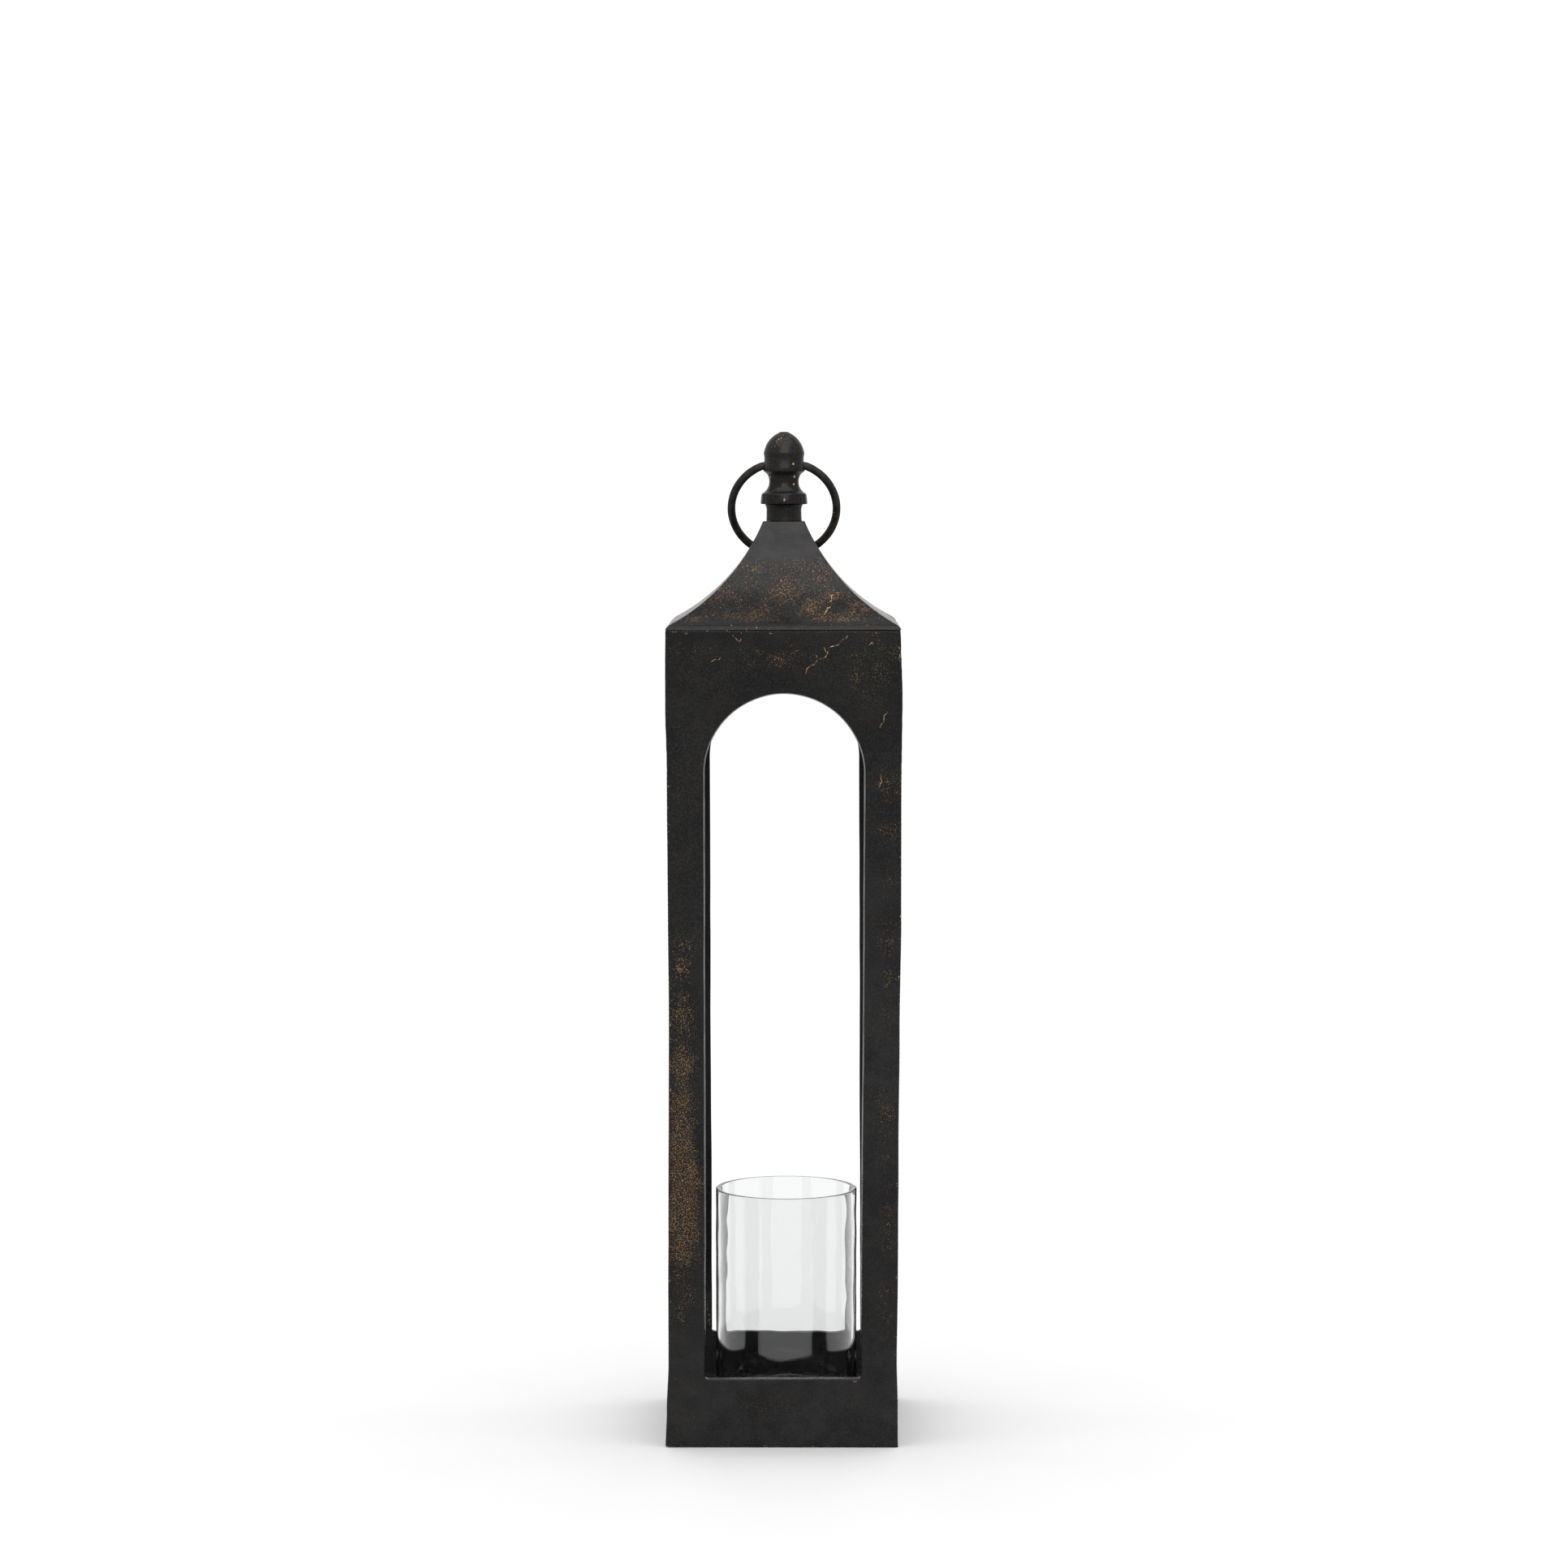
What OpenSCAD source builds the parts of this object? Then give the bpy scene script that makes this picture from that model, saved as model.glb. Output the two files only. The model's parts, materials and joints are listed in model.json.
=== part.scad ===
// Tall four-sided lantern with arched openings, a concave pyramid roof,
// an acorn finial with a loose ring handle, and a clear glass cylinder
// that stands on the floor plate and holds the candle.
// Origin: centre of the base, on the ground. +Z is up and the front is -Y.

/* [Body] */
// Outside width and depth of the body
body_w = 165; // [155:1:175]
// Height of the four panels
body_h = 580.5; // [540:0.5:620]
// Thickness of the cast panels
wall_t = 6; // [5:0.5:8]
// Width of the arched openings
open_w = 112.4; // [100:0.2:114]
// Height of the sill above the ground
sill_z = 51; // [50:1:60]
// Height of the top of the arch above the ground
arch_z = 536.7; // [500:0.1:540]

/* [Roof] */
// Height of the roof from the eave to its flat top
roof_h = 75.5; // [70:0.5:85]
// Height of the upright edge at the eave
eave_h = 2.8; // [2:0.1:4]
// Width of the flat top
roof_top_w = 30; // [29:0.5:34]
// Radius of the hollow curve of each roof face
roof_curve_r = 142; // [130:1:180]
// Thickness of the roof casting
roof_t = 5; // [4:0.5:6]

/* [Finial and ring] */
// Radius of the collar under the finial
collar_r = 12.75; // [11:0.25:14]
// Height of the collar
collar_h = 12; // [9:0.5:14]
// Radius of the finial's flange
flange_r = 16.7; // [15:0.1:18]
// Radius of the neck of the finial, where the hollow is deepest
neck_r = 10.6; // [9:0.1:12]
// Height of the cross-bore above the underside of the finial
bore_h = 27.5; // [27:0.25:29]
// Radius of the wire of the ring handle
wire_r = 2.85; // [2.5:0.05:3]
// Radius of the ring handle, to the middle of the wire
ring_r = 37.9; // [36:0.1:40]
// Lean of the ring handle from hanging straight down, where it rests on the roof
ring_lean = 26.6; // [26.5:0.1:30]

/* [Floor and glass] */
// Height of the top of the floor plate above the ground
floor_z = 20.5; // [18:0.5:24]
// Thickness of the floor plate
floor_t = 4; // [3:0.5:5]
// Outside diameter of the glass
glass_d = 102; // [96:1:106]
// Height of the glass
glass_h = 152.4; // [140:0.2:180]
// Wall thickness of the glass
glass_t = 3; // [2.5:0.5:4]
// Thickness of the glass base
glass_base_t = 5; // [4:0.5:7]

/* [Brackets and fasteners] */
// Length of each leg of a corner bracket along its panel
leg_l = 17; // [15:0.5:18]
// Height of a corner bracket
leg_h = 24; // [20:0.5:26]
// Thickness of a corner bracket
leg_t = 2.5; // [2:0.25:3]
// Shank radius of the small screws
screw_r = 2; // [1.5:0.25:2.5]
// Head radius of the small screws
screw_head_r = 3.8; // [3:0.1:4]
// Head height of the small screws
screw_head_h = 2.4; // [2:0.1:3]
// Radius of the stud under the finial
stud_r = 3; // [2.5:0.25:3.5]

/* [Hidden] */

// Half widths outside and inside the panels
half_w = body_w / 2;
inner_w = half_w - wall_t;

// Arch
arch_r = open_w / 2;
spring_z = arch_z - arch_r;

// Gap round every shank, pin and stud in its hole
hole_gap = 0.05;

// Screws: depth that each enters the casting, and their places. A screw stands in
// the middle of its bracket leg, counted from the inside corner of the body.
screw_bite = 4;
bite_gap = 0.4;
leg_mid = leg_t + (leg_l - leg_t) / 2;
screw_at = inner_w - leg_mid;
leg_screw_h = 14;
lower_screw_z = floor_z + leg_screw_h;
upper_screw_z = body_h - leg_screw_h;

// Gap between the floor plate and the panels
floor_gap = 0.5;

// Roof: each face is part of a cylinder that passes through the top of the eave
// and the edge of the flat top, with its centre outside and above the roof
roof_z = body_h + roof_h;
eave_z = body_h + eave_h;
top_half_w = roof_top_w / 2;
chord_x = top_half_w - half_w;
chord_z = roof_z - eave_z;
chord_l = sqrt(chord_x * chord_x + chord_z * chord_z);
curve_reach = sqrt(roof_curve_r * roof_curve_r - chord_l * chord_l / 4);
curve_x = half_w + chord_x / 2 + curve_reach * chord_z / chord_l;
curve_z = eave_z + chord_z / 2 - curve_reach * chord_x / chord_l;
// Thickness left over the hollow at the top of the roof, and the screw bosses
roof_cap_t = 6.5;
boss_r = 6;
boss_h = 6.8;
boss_hole_h = screw_bite + bite_gap;

// Finial, measured up from its underside
finial_z = roof_z + collar_h;
bore_z = finial_z + bore_h;
finial_h = 52;
flange_h = 7.5;
flange_draft = 0.3;
shoulder_z = 9.4;
cove_z = 17;
cove_r = 7.8;
cup_z = 24;
cup_r = 15.3;
cup_edge = 0.6;
waist_z = 32;
waist_r = 14.3;
lip_z = 36.6;
lip_r = 14.9;
dome_r = 18.5;
dome_in = 3.9;
dome_z = 34.4;

// Stud, washer and nut
stud_hole_h = 20;
stud_top_z = finial_z + stud_hole_h - 1;
cap_z = roof_z - roof_cap_t;
washer_r = 7.5;
washer_t = 1.5;
nut_r = 5.75;
nut_h = 5;
stud_tail = 3;

// Ring handle: a straight bar through the finial and one arc of ring_r round the
// rest. A slight knuckle marks each bend, and the wire's ends meet inside the bar.
bar_half = 15.9;
knuckle_r = wire_r + 0.1;
wire_gap = 1;
ring_drop = sqrt(ring_r * ring_r - bar_half * bar_half);
bar_angle = asin(bar_half / ring_r);
bore_gap = 0.2;

fine = 96;
coarse = 40;
eps = 1;

iron = [0.15, 0.15, 0.155];
steel = [0.55, 0.55, 0.56];
glass = [0.85, 0.9, 0.9, 0.35];

// Points of an arc about [x, y], from angle a to angle b
function arc(x, y, r, a, b, n) =
    [for (i = [0 : n]) let (t = a + (b - a) * i / n) [x + r * cos(t), y + r * sin(t)]];

// ---- Body ----

// Outline of the opening: straight sides under a half circle
module arch_outline() {
    translate([-arch_r, sill_z]) square([open_w, spring_z - sill_z]);
    translate([0, spring_z]) circle(r = arch_r, $fn = fine);
}

// One panel as it stands at the front, with mitred upright edges
module panel() {
    difference() {
        linear_extrude(body_h)
            polygon([
                [-half_w, -half_w], [half_w, -half_w],
                [inner_w, -inner_w], [-inner_w, -inner_w]
            ]);
        translate([0, eps - inner_w, 0])
            rotate([90, 0, 0])
                linear_extrude(wall_t + 2 * eps) arch_outline();
        for (x = [-screw_at, screw_at], z = [lower_screw_z, upper_screw_z])
            translate([x, eps - inner_w, z])
                rotate([90, 0, 0])
                    cylinder(r = screw_r + hole_gap, h = screw_bite + bite_gap + eps, $fn = coarse);
    }
}

module front_panel() {
    color(iron) panel();
}

module right_panel() {
    color(iron) rotate([0, 0, 90]) panel();
}

module back_panel() {
    color(iron) rotate([0, 0, 180]) panel();
}

module left_panel() {
    color(iron) rotate([0, 0, 270]) panel();
}

// ---- Floor ----

module floor_plate() {
    side = 2 * (inner_w - floor_gap);
    color(iron)
        difference() {
            translate([-side / 2, -side / 2, floor_z - floor_t]) cube([side, side, floor_t]);
            for (x = [-screw_at, screw_at], y = [-screw_at, screw_at])
                translate([x, y, floor_z - floor_t - eps])
                    cylinder(r = screw_r + hole_gap, h = floor_t + 2 * eps, $fn = coarse);
        }
}

// ---- Brackets ----

// Corner bracket in the front right corner, standing on its pad at z = 0
module bracket() {
    difference() {
        union() {
            translate([inner_w - leg_l, -inner_w, 0]) cube([leg_l, leg_t, leg_h]);
            translate([inner_w - leg_t, -inner_w, 0]) cube([leg_t, leg_l, leg_h]);
            translate([inner_w - leg_l, -inner_w, 0]) cube([leg_l, leg_l, leg_t]);
        }
        translate([screw_at, eps + leg_t - inner_w, leg_screw_h])
            rotate([90, 0, 0])
                cylinder(r = screw_r + hole_gap, h = leg_t + 2 * eps, $fn = coarse);
        translate([inner_w - leg_t - eps, -screw_at, leg_screw_h])
            rotate([0, 90, 0])
                cylinder(r = screw_r + hole_gap, h = leg_t + 2 * eps, $fn = coarse);
        translate([screw_at, -screw_at, -eps])
            cylinder(r = screw_r + hole_gap, h = leg_t + 2 * eps, $fn = coarse);
    }
}

// A lower bracket turned to its corner, on top of the floor plate
module lower_bracket(turn) {
    color(iron) rotate([0, 0, turn]) translate([0, 0, floor_z]) bracket();
}

// An upper bracket turned to its corner, with its pad level with the panels' tops
module upper_bracket(turn) {
    color(iron)
        rotate([0, 0, turn])
            translate([0, 0, body_h]) mirror([0, 0, 1]) bracket();
}

module lower_bracket_front_right() {
    lower_bracket(0);
}

module lower_bracket_rear_right() {
    lower_bracket(90);
}

module lower_bracket_rear_left() {
    lower_bracket(180);
}

module lower_bracket_front_left() {
    lower_bracket(270);
}

module upper_bracket_front_right() {
    upper_bracket(0);
}

module upper_bracket_rear_right() {
    upper_bracket(90);
}

module upper_bracket_rear_left() {
    upper_bracket(180);
}

module upper_bracket_front_left() {
    upper_bracket(270);
}

// ---- Screws ----

// Pan-head screw with a cross-slot, its head's underside at z = 0, pointing up
module screw(length) {
    slot_w = 1;
    slot_l = 4.4;
    slot_h = 1.2;
    difference() {
        union() {
            translate([0, 0, -screw_head_h])
                cylinder(r = screw_head_r, h = screw_head_h, $fn = coarse);
            cylinder(r = screw_r, h = length, $fn = coarse);
        }
        for (a = [0, 90])
            rotate([0, 0, a])
                translate([-slot_l / 2, -slot_w / 2, -screw_head_h - eps])
                    cube([slot_l, slot_w, slot_h + eps]);
    }
}

module panel_screws() {
    color(steel)
        for (turn = [0 : 90 : 270], x = [-screw_at, screw_at], z = [lower_screw_z, upper_screw_z])
            rotate([0, 0, turn])
                translate([x, leg_t - inner_w, z])
                    rotate([90, 0, 0]) screw(leg_t + screw_bite);
}

module floor_screws() {
    color(steel)
        for (x = [-screw_at, screw_at], y = [-screw_at, screw_at])
            translate([x, y, floor_z - floor_t]) screw(floor_t + leg_t);
}

module roof_screws() {
    color(steel)
        for (x = [-screw_at, screw_at], y = [-screw_at, screw_at])
            translate([x, y, body_h - leg_t]) screw(leg_t + screw_bite);
}

// ---- Roof ----

// Outline of the roof seen from the front. The hollow faces are cut by circles;
// inset moves them inwards, cap lowers the flat top and dip lowers the base.
module roof_outline(inset, cap, dip) {
    difference() {
        translate([-half_w + inset, body_h - dip])
            square([body_w - 2 * inset, roof_h - cap + dip]);
        for (side = [-1, 1])
            translate([side * curve_x, curve_z]) circle(r = roof_curve_r + inset, $fn = 2 * fine);
    }
}

// The outline run through both ways and crossed, which gives the four hips
module roof_form(inset, cap, dip) {
    intersection_for(turn = [0, 90])
        rotate([0, 0, turn])
            translate([0, half_w + eps, 0])
                rotate([90, 0, 0])
                    linear_extrude(body_w + 2 * eps) roof_outline(inset, cap, dip);
}

module roof() {
    color(iron)
        difference() {
            union() {
                difference() {
                    roof_form(0, 0, 0);
                    roof_form(roof_t, roof_cap_t, eps);
                }
                for (x = [-screw_at, screw_at], y = [-screw_at, screw_at])
                    translate([x, y, body_h]) cylinder(r = boss_r, h = boss_h, $fn = coarse);
            }
            for (x = [-screw_at, screw_at], y = [-screw_at, screw_at])
                translate([x, y, body_h - eps])
                    cylinder(r = screw_r + hole_gap, h = boss_hole_h + eps, $fn = coarse);
            translate([0, 0, cap_z - eps])
                cylinder(r = stud_r + hole_gap, h = roof_cap_t + 2 * eps, $fn = coarse);
        }
}

// ---- Collar, finial and stud ----

module roof_collar() {
    color(iron)
        difference() {
            translate([0, 0, roof_z]) cylinder(r = collar_r, h = collar_h, $fn = fine);
            translate([0, 0, roof_z - eps])
                cylinder(r = stud_r + hole_gap, h = collar_h + 2 * eps, $fn = coarse);
        }
}

// Half outline of the finial: flange, hollow neck, cup with a lip, and dome
module finial_outline() {
    cove_x = neck_r + cove_r;
    cove_low = asin((shoulder_z - cove_z) / cove_r);
    cove_high = asin((cup_z - cup_edge - cove_z) / cove_r);
    dome_low = asin((lip_z + cup_edge - dome_z) / dome_r);
    dome_high = asin((finial_h - dome_z) / dome_r);
    polygon(concat(
        [[0, 0], [flange_r, 0], [flange_r - flange_draft, flange_h]],
        arc(cove_x, cove_z, cove_r, 180 - cove_low, 180 - cove_high, 14),
        [[cup_r - cup_edge, cup_z], [cup_r, cup_z + cup_edge], [waist_r, waist_z], [lip_r, lip_z]],
        arc(-dome_in, dome_z, dome_r, dome_low, dome_high, 18),
        [[0, finial_h]]
    ));
}

module finial() {
    color(iron)
        difference() {
            translate([0, 0, finial_z]) rotate_extrude($fn = fine) finial_outline();
            translate([-flange_r - eps, 0, bore_z])
                rotate([0, 90, 0])
                    cylinder(r = wire_r + bore_gap, h = 2 * (flange_r + eps), $fn = coarse);
            translate([0, 0, finial_z - eps])
                cylinder(r = stud_r + hole_gap, h = stud_hole_h + eps, $fn = coarse);
        }
}

module finial_stud() {
    tail_z = cap_z - washer_t - nut_h - stud_tail;
    color(steel)
        translate([0, 0, tail_z])
            cylinder(r = stud_r, h = stud_top_z - tail_z, $fn = coarse);
}

module stud_washer() {
    color(steel)
        difference() {
            translate([0, 0, cap_z - washer_t]) cylinder(r = washer_r, h = washer_t, $fn = coarse);
            translate([0, 0, cap_z - washer_t - eps])
                cylinder(r = stud_r + hole_gap, h = washer_t + 2 * eps, $fn = coarse);
        }
}

module stud_nut() {
    color(steel)
        difference() {
            translate([0, 0, cap_z - washer_t - nut_h]) cylinder(r = nut_r, h = nut_h, $fn = 6);
            translate([0, 0, cap_z - washer_t - nut_h - eps])
                cylinder(r = stud_r + hole_gap, h = nut_h + 2 * eps, $fn = coarse);
        }
}

// ---- Ring handle ----

// The ring hanging straight down from its bar, which lies on the X axis
module hanging_ring() {
    translate([0, 0, -ring_drop])
        rotate([90, 0, 0])
            rotate([0, 0, 90 + bar_angle])
                rotate_extrude(angle = 360 - 2 * bar_angle, $fn = fine)
                    translate([ring_r, 0]) circle(r = wire_r, $fn = coarse);
    for (side = [-1, 1]) {
        translate([side * bar_half, 0, 0]) sphere(r = knuckle_r, $fn = coarse);
        translate([side * (bar_half + wire_gap / 2) / 2, 0, 0])
            rotate([0, 90, 0])
                cylinder(r = wire_r, h = bar_half - wire_gap / 2, center = true, $fn = coarse);
    }
}

module ring_handle() {
    color(iron) translate([0, 0, bore_z]) rotate([ring_lean, 0, 0]) hanging_ring();
}

// ---- Glass ----

module glass_cylinder() {
    color(glass)
        translate([0, 0, floor_z])
            difference() {
                cylinder(d = glass_d, h = glass_h, $fn = fine);
                translate([0, 0, glass_base_t])
                    cylinder(d = glass_d - 2 * glass_t, h = glass_h, $fn = fine);
            }
}

front_panel();
back_panel();
left_panel();
right_panel();
floor_plate();
lower_bracket_front_left();
lower_bracket_front_right();
lower_bracket_rear_left();
lower_bracket_rear_right();
upper_bracket_front_left();
upper_bracket_front_right();
upper_bracket_rear_left();
upper_bracket_rear_right();
panel_screws();
floor_screws();
roof_screws();
roof();
roof_collar();
finial();
finial_stud();
stud_washer();
stud_nut();
ring_handle();
glass_cylinder();
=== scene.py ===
import json
import math
import random

import bpy
from mathutils import Matrix, Vector, noise


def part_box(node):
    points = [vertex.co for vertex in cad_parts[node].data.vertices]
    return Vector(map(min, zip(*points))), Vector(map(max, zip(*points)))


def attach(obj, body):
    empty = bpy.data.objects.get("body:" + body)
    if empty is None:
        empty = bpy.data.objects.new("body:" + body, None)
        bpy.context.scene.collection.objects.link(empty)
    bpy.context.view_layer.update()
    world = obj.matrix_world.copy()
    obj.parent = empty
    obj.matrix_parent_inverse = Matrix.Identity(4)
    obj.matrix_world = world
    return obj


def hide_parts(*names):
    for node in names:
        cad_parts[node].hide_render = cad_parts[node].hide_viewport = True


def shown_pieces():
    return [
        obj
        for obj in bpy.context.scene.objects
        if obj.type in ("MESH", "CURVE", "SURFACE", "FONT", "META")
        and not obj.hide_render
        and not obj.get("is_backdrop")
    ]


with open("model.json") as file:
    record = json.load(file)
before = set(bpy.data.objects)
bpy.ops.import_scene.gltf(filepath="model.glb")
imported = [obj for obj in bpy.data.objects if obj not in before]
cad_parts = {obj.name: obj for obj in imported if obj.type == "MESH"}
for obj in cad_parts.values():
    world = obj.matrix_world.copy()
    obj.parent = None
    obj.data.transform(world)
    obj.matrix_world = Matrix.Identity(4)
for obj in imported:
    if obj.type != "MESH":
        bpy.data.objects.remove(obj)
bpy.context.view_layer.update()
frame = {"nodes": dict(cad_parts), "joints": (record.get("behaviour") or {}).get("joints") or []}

MM = 0.001

# ---- Measures, in metres, from the frame where it has them ----

panel_lo, panel_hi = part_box("front_panel")
collar_lo, collar_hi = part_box("roof_collar")
floor_lo, floor_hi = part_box("floor_plate")
glass_lo, glass_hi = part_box("glass_cylinder")
roof_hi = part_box("roof")[1]
finial_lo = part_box("finial")[0]
washer_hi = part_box("stud_washer")[1]
screw_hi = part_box("roof_screws")[1]
HALF_W = panel_hi.x
BODY_H = panel_hi.z
WALL = panel_hi.y - panel_lo.y

# Opening: straight sides under a half circle
ARCH_R = 56.2 * MM
SILL_Z = 51 * MM
SPRING_Z = 536.7 * MM - ARCH_R
SILL_CORNER_R = 3 * MM
OPENING_EDGE_R = 0.7 * MM
SIDE_DRAFT = 1.15 * MM
SILL_DRAFT = 0.1 * MM
CORNER_EDGE_R = 1.1 * MM
RIM_EDGE_R = 0.8 * MM
EDGE_WEAR = 0.32

# Roof
EAVE_Z = BODY_H + 2.8 * MM
EAVE_R = 2.2 * MM
UNDER_R = 0.4 * MM
SLOPE_Z = EAVE_Z + 2.4 * MM
ROOF_BASE_Z = BODY_H + 0.25 * MM
HOLLOW_BASE_Z = BODY_H + 0.15 * MM
ROOF_TOP_HALF = 15 * MM
TOP_EDGE_R = 0.9 * MM
EAVE_CORNER_R = 1.2 * MM
ROOF_CORNER_R = 1.1 * MM
HOLLOW_CORNER_R = 2.0 * MM
ROOF_CURVE_R = 142 * MM
ROOF_T = 5 * MM
ROOF_CAP_Z = washer_hi.z
ROOF_EDGE_WEAR = 0.25
BOSS_R = 6 * MM
BOSS_HOLE_R = 2.05 * MM
BOSS_H = 7.92 * MM
SCREW_HEAD_R = 3.8 * MM
BOSS_AT = screw_hi.x - SCREW_HEAD_R

# Radii of holes, in mm
STUD_HOLE = 3.05
BORE = 3.05

# Finial and ring
joint = next(j for j in frame["joints"] if j["name"] == "ring_swing")
PIVOT = Vector(joint["pos_m"])
WIRE_R = 2.85 * MM
RING_R = 37.9 * MM
RING_LEAN = math.radians(26.6)
BAR_HALF = 15.0 * MM
KINK_X = 23.5 * MM

# Glass
GLASS_T = 3 * MM
GLASS_BASE_T = 3.5 * MM
GLASS_WAVE = 0.22 * MM
GLASS_SHIFT = Vector((1.6 * MM, 0, 0))


# ---- Hand-cast unevenness ----

# Without a seed, noise_vector takes its offsets from the clock
noise.seed_set(1)

# Heights with how far four upright lines stand to the right of true, all in mm:
# outer left, opening left, opening right, outer right
FRONT_DRIFT = [
    (0, -1.7, -0.5, -1.3, -1.5),
    (26, -0.8, -0.4, -1.2, -1.7),
    (60, 0.7, -0.3, -1.0, -2.4),
    (120, 0.5, -0.3, -0.8, -1.8),
    (220, 0.9, -0.4, -0.2, -1.4),
    (300, 1.1, -0.5, 0.4, -0.9),
    (380, 0.6, -0.6, 0.9, 0.2),
    (480, 0.1, -0.6, 1.2, 0.3),
    (530, -1.1, -0.2, 0.4, 0.9),
    (581, -0.8, 0.0, 0.0, -0.3),
]
BACK_DRIFT = [
    (0, 0.6, 1.8, 1.8, 0.3),
    (130, 0.5, 1.5, 1.5, 0.2),
    (300, 0.4, 0.9, 0.8, 0.2),
    (480, 0.1, 0.4, 0.2, 0.1),
    (581, 0.0, 0.0, 0.0, 0.0),
]
SILL_SAG = 1.6 * MM
FOOT_LIFT = 0.9 * MM


def ease(t):
    t = min(max(t, 0.0), 1.0)
    return t * t * (3 - 2 * t)


def between(table, at):
    """The row of a table at a value of its first column, with smooth steps between rows."""
    at = min(max(at, table[0][0]), table[-1][0])
    for low, high in zip(table, table[1:]):
        if at <= high[0]:
            t = ease((at - low[0]) / (high[0] - low[0]))
            return [p + (q - p) * t for p, q in zip(low[1:], high[1:])]


def drift(table, a, z):
    """Drift of a point a across from the middle of a panel, at height z."""
    row = between(table, z / MM)
    lines = (-HALF_W, -ARCH_R, ARCH_R, HALF_W)
    a = min(max(a, -HALF_W), HALF_W)
    for i in range(3):
        if a <= lines[i + 1]:
            t = (a - lines[i]) / (lines[i + 1] - lines[i])
            return (row[i] + (row[i + 1] - row[i]) * t) * MM
    return row[3] * MM


def body_drift(p):
    """How the whole body leans, twists and sags at a point."""
    back = min(max((p.y / HALF_W + 1) / 2, 0.0), 1.0)
    front = drift(FRONT_DRIFT, p.x, p.z)
    across = front + (drift(BACK_DRIFT, p.x, p.z) - front) * back
    deep = 0.4 * drift(FRONT_DRIFT, -p.y, p.z)
    near_sill = math.exp(-((p.z - SILL_Z) / (12 * MM)) ** 2)
    near_sill *= 1 - ease((abs(p.x) - ARCH_R) / (14 * MM))
    sag = SILL_SAG * near_sill * (1 - ease(back * 6))
    lift = FOOT_LIFT * (0.5 - p.x / HALF_W / 2) * (1 - back) * (1 - ease(p.z / (15 * MM)))
    return Vector((across, deep, lift - sag))


def hammer_mark(p):
    """Depth of the small hammer marks that follow each other up a corner."""
    side = noise.noise(Vector((p.x, p.y, 0)) / 0.05) * 3
    beat = p.z / (3.1 * MM) + 0.8 * noise.noise(Vector((side, 0, p.z / 0.012)))
    mark = math.exp(-((beat % 1 - 0.5) / 0.22) ** 2)
    return mark * (0.62 + 0.6 * noise.noise(Vector((side, 5, p.z / 0.006)))) * MM


def body_cast(p):
    """Where a point of the ideal body lies on the hand-cast one.

    The inside stays true near the corners, where the brackets, floor and roof fit.
    """
    depth = HALF_W - max(abs(p.x), abs(p.y))
    outer = 1 - min(max(depth / WALL, 0.0), 1.0)
    along = min(abs(p.x), abs(p.y))
    free = 1 - ease((along - ARCH_R) / (10 * MM))
    free *= ease((p.z - 30 * MM) / (12 * MM)) * ease((BODY_H - 10 * MM - p.z) / (12 * MM))
    hold = outer + (1 - outer) * free
    low = noise.noise_vector(p / 0.11) * 0.30 * MM
    mid = noise.noise_vector(p / 0.028 + Vector((7, 3, 1))) * 0.14 * MM
    lumps = low + mid
    lumps.z *= ease(p.z / (12 * MM))
    near_corner = max(0.0, 1 - (HALF_W - along) / (2.5 * MM)) * outer
    out = Vector((p.x, p.y, 0)).normalized()
    return p + (body_drift(p) + lumps) * hold - out * hammer_mark(p) * near_corner


def light_cast(amount, size):
    """A displacement for a small casting: amount in metres, lumps of that size."""
    def cast(p):
        return p + noise.noise_vector(p / size + Vector((2, 5, 9))) * amount
    return cast


# ---- Mesh helpers ----


def new_piece(name, verts, faces, material, patina=None, edges=None, dust_and_painted_light=None):
    """A smooth-shaded object from points and faces, with per-point paint amounts."""
    mesh = bpy.data.meshes.new(name)
    mesh.from_pydata(verts, [], faces)
    mesh.validate()
    for attribute, amount in (("patina", patina), ("worn_edge", edges), ("dust_and_painted_light", dust_and_painted_light)):
        if amount is not None:
            layer = mesh.attributes.new(attribute, "FLOAT", "POINT")
            layer.data.foreach_set("value", amount)
    mesh.shade_smooth()
    piece = bpy.data.objects.new(name, mesh)
    bpy.context.scene.collection.objects.link(piece)
    piece.data.materials.append(material)
    return piece


def weighted_normals(piece):
    """Keeps broad faces flat beside their small round edges."""
    modifier = piece.modifiers.new("flat faces", "WEIGHTED_NORMAL")
    modifier.mode = "FACE_AREA"
    modifier.weight = 60


def loft(rings, closed):
    """Quads between rings of points, each ring closed on itself."""
    count = len(rings[0])
    verts = [p for ring in rings for p in ring]
    faces = []
    spans = len(rings) if closed else len(rings) - 1
    for i in range(spans):
        a, b = i * count, (i + 1) % len(rings) * count
        for j in range(count):
            k = (j + 1) % count
            faces.append((a + j, a + k, b + k, b + j))
    return verts, faces


def face_outwards(verts, faces):
    """Turns every face over if the closed mesh is inside out."""
    volume = 0.0
    for face in faces:
        a = verts[face[0]]
        for b, c in zip(face[1:], face[2:]):
            volume += a.dot(verts[b].cross(verts[c]))
    return faces if volume > 0 else [tuple(reversed(face)) for face in faces]


def arc_points(cx, cz, r, start, end, steps):
    """Points (x, z) of an arc from start to end, in degrees."""
    angles = [math.radians(start + (end - start) * i / steps) for i in range(steps + 1)]
    return [(cx + r * math.cos(a), cz + r * math.sin(a)) for a in angles]


def revolve(profile, steps):
    """A closed outline of (radius, z) points turned about Z."""
    rings = []
    for r, z in profile:
        ring = []
        for i in range(steps):
            a = 2 * math.pi * i / steps
            ring.append(Vector((r * math.cos(a), r * math.sin(a), z)))
        rings.append(ring)
    verts, faces = loft(rings, True)
    return verts, face_outwards(verts, faces)


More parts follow.
